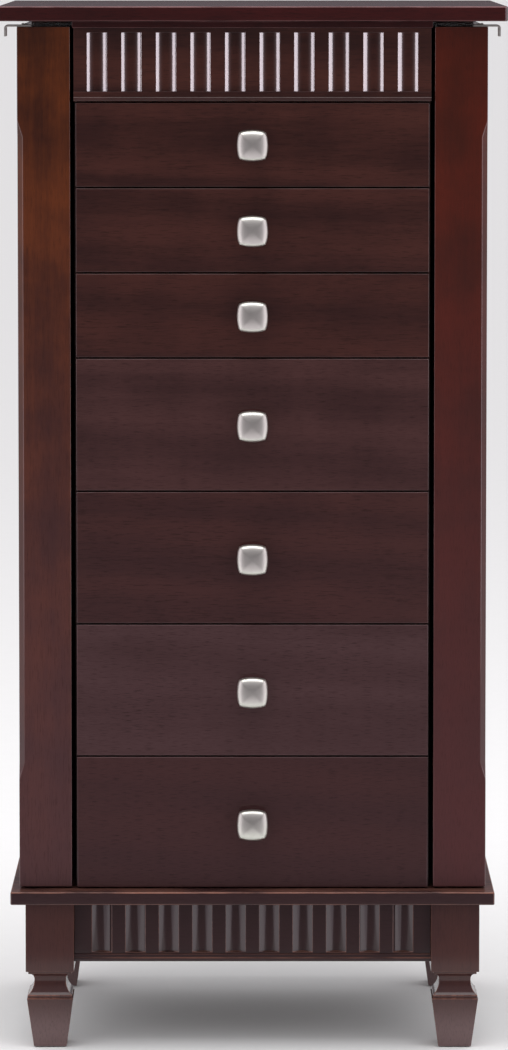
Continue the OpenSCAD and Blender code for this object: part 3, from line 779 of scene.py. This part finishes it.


# Doors. Each is a shallow frame with a thick front post, whose outer arris has a stopped
# chamfer, a rear stile, two rails and a thin outer panel. All are stained and glued.
# The plum foot tint is partly a painted reflection of the floor, and the pale edge colour is partly
# a painted highlight.
door_wood = stained_wood(
    "door_wood",
    dark=(0.030, 0.006, 0.0018, 1),
    light=(0.102, 0.0215, 0.0032, 1),
    foot=(0.068, 0.031, 0.035, 1),
    edge=(0.16, 0.08, 0.06, 1),
    other=(0.066, 0.0045, 0.0016, 1),
    banding=0.15,
    mottle=1.5,
    grain=0.6,
)
post_d = 0.024
stile_d = 0.018
rail_h = 0.012
chamfer = 0.0053
runout = 0.017
for side, sign in [("left", -1), ("right", 1)]:
    low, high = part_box(f"door_{side}_frame")
    inner_x, outer_x = (high.x, low.x) if sign < 0 else (low.x, high.x)
    post_y = low.y + post_d
    stile_y = high.y - stile_d
    post = block((inner_x, low.y, low.z), (outer_x, post_y, high.z))
    chamfer_z0 = low.z + 0.122
    chamfer_z1 = high.z - 0.106
    chamfer_l = chamfer_z1 - chamfer_z0
    mid_z = (chamfer_z0 + chamfer_z1) / 2
    # The tool lies across the arris, and its outer face is longer by a runout at each end.
    alone()
    bpy.ops.mesh.primitive_cube_add(
        size=1,
        location=(outer_x, low.y, mid_z),
        scale=(math.sqrt(2) * chamfer, 0.022, chamfer_l),
        rotation=(0, 0, math.atan2(-1, sign)),
    )
    tool = bpy.context.object
    bpy.ops.object.transform_apply(location=True, rotation=True, scale=True)
    pick(tool, "FACE", lambda face: face.normal.dot(Vector((sign, -1, 0))) > 1)
    spread = 1 + 4 * runout / chamfer_l
    bpy.ops.transform.resize(value=(1, 1, spread), center_override=(0, 0, mid_z))
    bpy.ops.object.mode_set(mode="OBJECT")
    cut(post, [tool])
    lay_grain(ease(post, 0.0007, 3, 30), (0, 0, 1), 89 if sign < 0 else 90.5)
    stile = block((inner_x, stile_y, low.z), (outer_x, high.y, high.z))
    pockets = []
    for z in hinge_z:
        one = (outer_x - sign * leaf_w, high.y - leaf_t, z - door_leaf_half)
        other = (outer_x + sign * past, high.y + past, z + door_leaf_half)
        pockets.append(block(one, other))
    cut(stile, pockets)
    lay_grain(ease(stile, 0.0005), (0, 0, 1), 93 + sign)
    rails = [
        board((inner_x, post_y, z), (outer_x, stile_y, z + rail_h), (0, 1, 0), 96 + z)
        for z in [low.z, high.z - rail_h]
    ]
    whole = join(f"door_{side}_frame_wood", [post, stile, *rails])
    fit(whole, door_wood, f"door_{side}", "door_wood", f"door_{side}_frame")
    panel = board(*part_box(f"door_{side}_panel"), (0, 0, 1), 99 + sign)
    panel.name = f"door_{side}_panel_wood"
    fit(panel, door_wood, f"door_{side}", "door_wood", f"door_{side}_panel")


# Pulls. A strip of 2 mm satin steel, bent down at its outer end, is screwed on top of each
# door's post.
pull_t = 0.002
pull_w = 0.02
pull_drop = 0.0113
bend = 0.0032
for side, sign in [("left", -1), ("right", 1)]:
    low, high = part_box(f"door_{side}_pull")
    post_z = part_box(f"door_{side}_frame")[1].z
    top_z = post_z + pull_t
    tip_x = high.x if sign > 0 else low.x
    end_x = low.x if sign > 0 else high.x
    mid_y = (low.y + high.y) / 2
    alone()
    bpy.ops.mesh.primitive_plane_add(
        size=1, location=(end_x, mid_y, top_z - pull_t / 2), rotation=(0, math.radians(90), 0)
    )
    pull = bpy.context.object
    pull.scale = (pull_t, pull_w, 1)
    bpy.ops.object.transform_apply(location=True, rotation=True, scale=True)
    bpy.ops.object.mode_set(mode="EDIT")
    bpy.ops.mesh.select_all(action="SELECT")
    straight = tip_x - end_x - sign * bend
    bpy.ops.mesh.extrude_region_move(TRANSFORM_OT_translate={"value": (straight, 0, 0)})
    for step in range(6):
        bpy.ops.mesh.extrude_region_move(TRANSFORM_OT_translate={"value": (0, 0, 0)})
        bpy.ops.transform.rotate(
            value=math.radians(-15) * sign,
            orient_axis="Y",
            center_override=(tip_x - sign * bend, mid_y, top_z - bend),
        )
    drop = {"value": (0, 0, bend - pull_drop)}
    bpy.ops.mesh.extrude_region_move(TRANSFORM_OT_translate=drop)
    bpy.ops.mesh.select_all(action="SELECT")
    bpy.ops.mesh.normals_make_consistent(inside=False)
    bpy.ops.object.mode_set(mode="OBJECT")
    ease(pull, 0.0003)
    screw_x = end_x + sign * 0.007
    head_r = 0.003
    head_h = 0.0015
    alone()
    bpy.ops.mesh.primitive_cylinder_add(
        vertices=32, radius=head_r, depth=head_h, location=(screw_x, mid_y, top_z + head_h / 2)
    )
    bpy.ops.object.transform_apply(location=True)
    screw = ease(bpy.context.object, 0.0006, 3)
    slot_half = 0.0004
    slot = block(
        (screw_x - slot_half, mid_y - 2 * head_r, top_z + 0.6 * head_h),
        (screw_x + slot_half, mid_y + 2 * head_r, top_z + 2 * head_h),
    )
    cut(screw, [slot])
    metal = join(f"door_{side}_pull_metal", [pull, screw])
    fit(metal, satin_nickel, f"door_{side}", "satin_nickel", f"door_{side}_pull")


# Necklace hooks. A satin nickel rail screwed inside each door carries eight round hooks that
# turn up at the end.
rail_t = 0.006
rail_half = 0.009
hook_r = 0.0018
hook_l = 0.0145
turn_r = 0.0035
for side, sign in [("left", -1), ("right", 1)]:
    low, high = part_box(f"door_{side}_hooks")
    panel_low, panel_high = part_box(f"door_{side}_panel")
    back_x = panel_low.x if sign > 0 else panel_high.x
    rail_x = back_x - sign * rail_t
    rail_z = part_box(f"door_{side}_frame")[1].z - 0.048
    rail = block((rail_x, low.y, rail_z - rail_half), (back_x, high.y, rail_z + rail_half))
    parts = [ease(rail, 0.001, 3)]
    for i in range(8):
        y = low.y + (i + 0.5) * (high.y - low.y) / 8
        alone()
        bpy.ops.mesh.primitive_circle_add(
            vertices=16,
            radius=hook_r,
            fill_type="NGON",
            location=(rail_x, y, rail_z),
            rotation=(0, math.radians(-90 * sign), 0),
        )
        bpy.ops.object.transform_apply(location=True, rotation=True)
        hook = bpy.context.object
        bpy.ops.object.mode_set(mode="EDIT")
        bpy.ops.mesh.select_all(action="SELECT")
        bpy.ops.mesh.extrude_region_move(TRANSFORM_OT_translate={"value": (-sign * hook_l, 0, 0)})
        for step in range(6):
            bpy.ops.mesh.extrude_region_move(TRANSFORM_OT_translate={"value": (0, 0, 0)})
            bpy.ops.transform.rotate(
                value=math.radians(-15) * sign,
                orient_axis="Y",
                center_override=(rail_x - sign * hook_l, y, rail_z + turn_r),
            )
        for rise, size in [(0.002, 1), (0.0008, 0.8), (0.0004, 0.5)]:
            bpy.ops.mesh.extrude_region_move(TRANSFORM_OT_translate={"value": (0, 0, rise)})
            tip_x = rail_x - sign * (hook_l + turn_r)
            bpy.ops.transform.resize(value=(size, size, 1), center_override=(tip_x, y, rail_z))
        bpy.ops.mesh.select_all(action="SELECT")
        bpy.ops.mesh.normals_make_consistent(inside=False)
        bpy.ops.object.mode_set(mode="OBJECT")
        parts.append(hook)
    metal = join(f"door_{side}_hooks_metal", parts)
    fit(metal, satin_nickel, f"door_{side}", "satin_nickel", f"door_{side}_hooks", angle=45)


# Pouches. A gathered pocket of woven cloth is tacked to the foot of each door's panel, with
# an elastic hem that draws its mouth in.
weave = Finish(bpy.data.materials.new("pouch_fabric"))
spot = weave.place()
threads = [
    weave.node("TexWave", {"bands_direction": way}, {"Vector": spot, "Scale": 420.0}, "Fac")
    for way in ["Y", "Z"]
]
slub = weave.noise(spot, 60, 3)
pouch_fabric = weave.surface(
    Base_Color=weave.mix(slub, (0.018, 0.014, 0.02, 1), (0.05, 0.042, 0.052, 1)),
    Roughness=0.8 + slub * 0.15,
    Sheen_Weight=0.4,
    Normal=weave.bump(threads[0] + threads[1] + slub, 0.5, 0.0002),
)
margin = 0.001
for side, sign in [("left", -1), ("right", 1)]:
    low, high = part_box(f"door_{side}_pouch")
    wall_x = high.x if sign > 0 else low.x
    alone()
    bpy.ops.mesh.primitive_grid_add(x_subdivisions=132, y_subdivisions=20, size=1)
    pocket = bpy.context.object
    width = high.y - low.y - 2 * margin
    height = high.z - low.z - 3 * margin
    for point in pocket.data.vertices:
        u = point.co.x + 0.5
        v = point.co.y + 0.5
        bag = min(1, 9 * u, 9 * (1 - u)) ** 0.5 * min(1, 7 * v) ** 0.5
        bulge = (0.021 - 0.007 * v**3) * bag
        wave = math.sin(u * 92 + 1.4 * math.sin(u * 17)) + 0.4 * math.sin(u * 51 + 2)
        folds = 0.0016 * wave * bag * (0.45 + 0.55 * v) * (1 - 0.3 * math.sin(v * 3.1))
        point.co = (
            wall_x - sign * (0.0012 + bulge + folds),
            low.y + margin + width * u,
            low.z + margin + height * v - 0.003 * math.sin(u * math.pi) * v,
        )
    bpy.ops.object.mode_set(mode="EDIT")
    bpy.ops.mesh.select_all(action="SELECT")
    bpy.ops.mesh.normals_make_consistent(inside=False)
    bpy.ops.object.mode_set(mode="OBJECT")
    soften = pocket.modifiers.new("soften", "SUBSURF")
    soften.levels = 1
    bpy.ops.object.modifier_apply(modifier="soften")
    thicken = pocket.modifiers.new("thicken", "SOLIDIFY")
    thicken.thickness = 0.0009
    thicken.offset = 0
    bpy.ops.object.modifier_apply(modifier="thicken")
    pocket.name = f"door_{side}_pouch_cloth"
    fit(pocket, pouch_fabric, f"door_{side}", "pouch_fabric", f"door_{side}_pouch", angle=80)


# Hinges. Each is a pair of thin brass leaves, let into the wood, that turn on a steel pin.
# Two carry the lid, and three carry each door.
metal = Finish(bpy.data.materials.new("hinge_brass"))
patina = metal.noise(metal.place(), 55, 4, 0.6)
lines = metal.noise(metal.place(), 1800, 2)
hinge_brass = metal.surface(
    Base_Color=metal.mix(metal.fade(patina, 0.35, 0.7), (0.62, 0.46, 0.2, 1), (0.42, 0.3, 0.15, 1)),
    Metallic=1.0,
    Roughness=0.26 + lines * 0.16,
    Normal=metal.bump(lines, 0.15, 0.0001),
)
for name in [
    "lid_hinge_moving",
    "lid_hinge_fixed",
    "door_left_hinge",
    "door_right_hinge",
    "door_hinge_fixed",
]:
    for holder in frame["nodes"][name].material_slots:
        holder.material = hinge_brass


# Lid. One thick stained board with rounded corners and softly rounded edges, let in at the
# back for its two hinges.
low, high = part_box("lid")
lid = block(low, high)
corners = lid.data.vertices
pick(lid, "EDGE", lambda edge: corners[edge.vertices[0]].co.xy == corners[edge.vertices[1]].co.xy)
bpy.ops.mesh.bevel(offset=0.004, segments=6, affect="EDGES")
bpy.ops.object.mode_set(mode="OBJECT")
pockets = []
for x in [-lid_hinge_x, lid_hinge_x]:
    one = (x - lid_leaf_half, high.y - leaf_w, low.z - past)
    pockets.append(block(one, (x + lid_leaf_half, high.y + past, low.z + 0.0018)))
cut(lid, pockets)
ease(lid, 0.0012, 3)
lay_grain(lid, (1, 0, 0), 111)
lid.name = "lid_wood_top"
fit(lid, lid_wood, "lid", "lid_wood", "lid")


# Mirror. Silvered glass with a ground edge, held under the lid by four flat stained boards.
low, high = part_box("mirror_frame")
wide = 0.02
boards = []
for x in [low.x, high.x - wide]:
    boards.append(board((x, low.y, low.z), (x + wide, high.y, high.z), (0, 1, 0), 120 + x, 0.0012))
for y in [low.y, high.y - wide]:
    one = (low.x + wide + play, y, low.z)
    other = (high.x - wide - play, y + wide, high.z)
    boards.append(board(one, other, (1, 0, 0), 124 + y, 0.0012))
low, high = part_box("mirror")
pane = block(low, high)
gap = Vector((play, play, play))
tool = block(low - gap, high + gap)
mirror_frame = join("mirror_frame_wood", boards)
cut(mirror_frame, [tool])
fit(mirror_frame, lid_wood, "lid", "lid_wood", "mirror_frame")
silver = Finish(bpy.data.materials.new("mirror_glass"))
haze = silver.noise(silver.place(), 35, 3)
mirror_glass = silver.surface(
    Base_Color=silver.mix(haze, (0.84, 0.87, 0.87, 1), (0.88, 0.90, 0.90, 1)),
    Metallic=1.0,
    Roughness=0.02 + haze * 0.02,
    Normal=silver.bump(haze, 0.01, 0.0001),
)
ease(pane, 0.001, 1)
pane.name = "mirror_pane"
fit(pane, mirror_glass, "lid", "mirror_glass", "mirror")


# Setting. A plain pale floor, a softbox and a low pale card at each side, a wide soft light
# overhead, and a camera far in front of the chest, a little above its lid.
paint = Finish(bpy.data.materials.new("ground_paint"))
speck = paint.noise(paint.place(), 40, 2)
ground_paint = paint.surface(
    Base_Color=paint.mix(speck, (0.80, 0.80, 0.80, 1), (0.82, 0.82, 0.82, 1)),
    Roughness=0.9,
    Specular_IOR_Level=0.1,
)
for name, y0, y1 in [("ground", -0.55, 90), ("ground_front", -60, -0.55)]:
    alone()
    bpy.ops.mesh.primitive_plane_add(size=1, location=(0, (y0 + y1) / 2, 0))
    ground = bpy.context.object
    ground.name = name
    ground.scale = (120, y1 - y0, 1)
    bpy.ops.object.transform_apply(location=True, scale=True)
    ground.data.materials.append(ground_paint)
    ground.visible_glossy = name == "ground"

# What lights matt surfaces is pale all round. What shines back off lacquer and metal is dim
# ahead, paler overhead and below, so that the flat wood keeps its colour.
world = bpy.data.worlds.new("studio")
bpy.context.scene.world = world
sky = Finish(world)
rays = sky.nodes.new("ShaderNodeLightPath").outputs
matt, shiny, seen = (
    Wire(sky, rays[kind]) for kind in ["Is Diffuse Ray", "Is Glossy Ray", "Is Camera Ray"]
)
rise = sky.node("SeparateXYZ", {}, {0: sky.node("TexCoord", {}, {}, "Generated")}, "Z")
across = sky.node("SeparateXYZ", {}, {0: sky.node("TexCoord", {}, {}, "Generated")}, "X")
above = sky.fade(rise, 0.12, 0.6)
below = 1.0 - sky.fade(rise, -0.55, -0.1)
beside = sky.fade(sky.math("ABSOLUTE", across, 0), 0.45, 0.9)
gleam = 0.15 + above * 0.3 + below * 0.6 + beside * 0.9
sky.feed(
    sky.nodes["Background"].inputs,
    {
        "Color": sky.mix(shiny, (1, 0.985, 1, 1), (1, 0.9, 0.99, 1)),
        "Strength": matt * 0.95 + seen * 0.8 + shiny * gleam,
    },
)

# Each lamp shines on what its collection says. The soft side light leaves out bare metal,
# which it would burn out, and two small strong lamps pick out the flutes of the frieze.
bare_metal = bpy.data.collections.new("bare_metal")
for piece in list(bpy.context.scene.objects):
    if piece.type == "MESH" and satin_nickel in piece.data.materials[:]:
        bare_metal.objects.link(piece)
for member in bare_metal.collection_objects:
    member.light_linking.link_state = "EXCLUDE"
fluted = bpy.data.collections.new("fluted")
fluted.objects.link(frieze)
for name, place, target, size, power, shines_on in [
    ("softbox_left", (-1.6, -1.0, 1.0), (0, -1.0, 1.0), (1.0, 1.7), 16, bare_metal),
    ("softbox_right", (1.6, -0.85, 1.0), (0, -0.85, 1.0), (1.3, 1.7), 21, bare_metal),
    ("flute_lamp_left", (-1.5, -0.83, 0.88), (0, -0.83, 0.88), (0.7, 0.6), 22, fluted),
    ("flute_lamp_right", (1.5, -0.69, 0.88), (0, -0.69, 0.88), (0.98, 0.6), 31, fluted),
    ("card_left", (-0.75, -0.6, 0.004), (-0.75, -0.6, 1), (0.9, 0.8), 2.6, bare_metal),
    ("card_right", (0.75, -0.6, 0.004), (0.75, -0.6, 1), (0.9, 0.8), 3.3, bare_metal),
    ("softbox_top", (0, -0.6, 3.4), (0, 0, 0), (3.0, 2.0), 60, None),
]:
    lamp = bpy.data.objects.new(name, bpy.data.lights.new(name, "AREA"))
    bpy.context.scene.collection.objects.link(lamp)
    lamp.location = place
    aim = Vector(target) - Vector(place)
    lamp.rotation_euler = aim.to_track_quat("-Z", "Y").to_euler()
    lamp.data.shape = "RECTANGLE"
    lamp.data.size, lamp.data.size_y = size
    lamp.data.energy = power
    lamp.visible_camera = False
    if shines_on:
        lamp.data.color = (1, 0.9, 0.98)
        lamp.visible_diffuse = False
        lamp.light_linking.receiver_collection = shines_on

camera = bpy.data.objects.new("camera", bpy.data.cameras.new("camera"))
bpy.context.scene.collection.objects.link(camera)
camera.location = (0.0015, -4.8, 1.1)
tilt = 4.076
camera.rotation_euler = (math.radians(90 - tilt), 0, 0)
camera.data.lens = 165.5
camera.data.sensor_width = 36
camera.data.shift_y = -0.25
camera.data.clip_end = 400
bpy.context.scene.camera = camera
bpy.context.scene.view_settings.view_transform = "Standard"
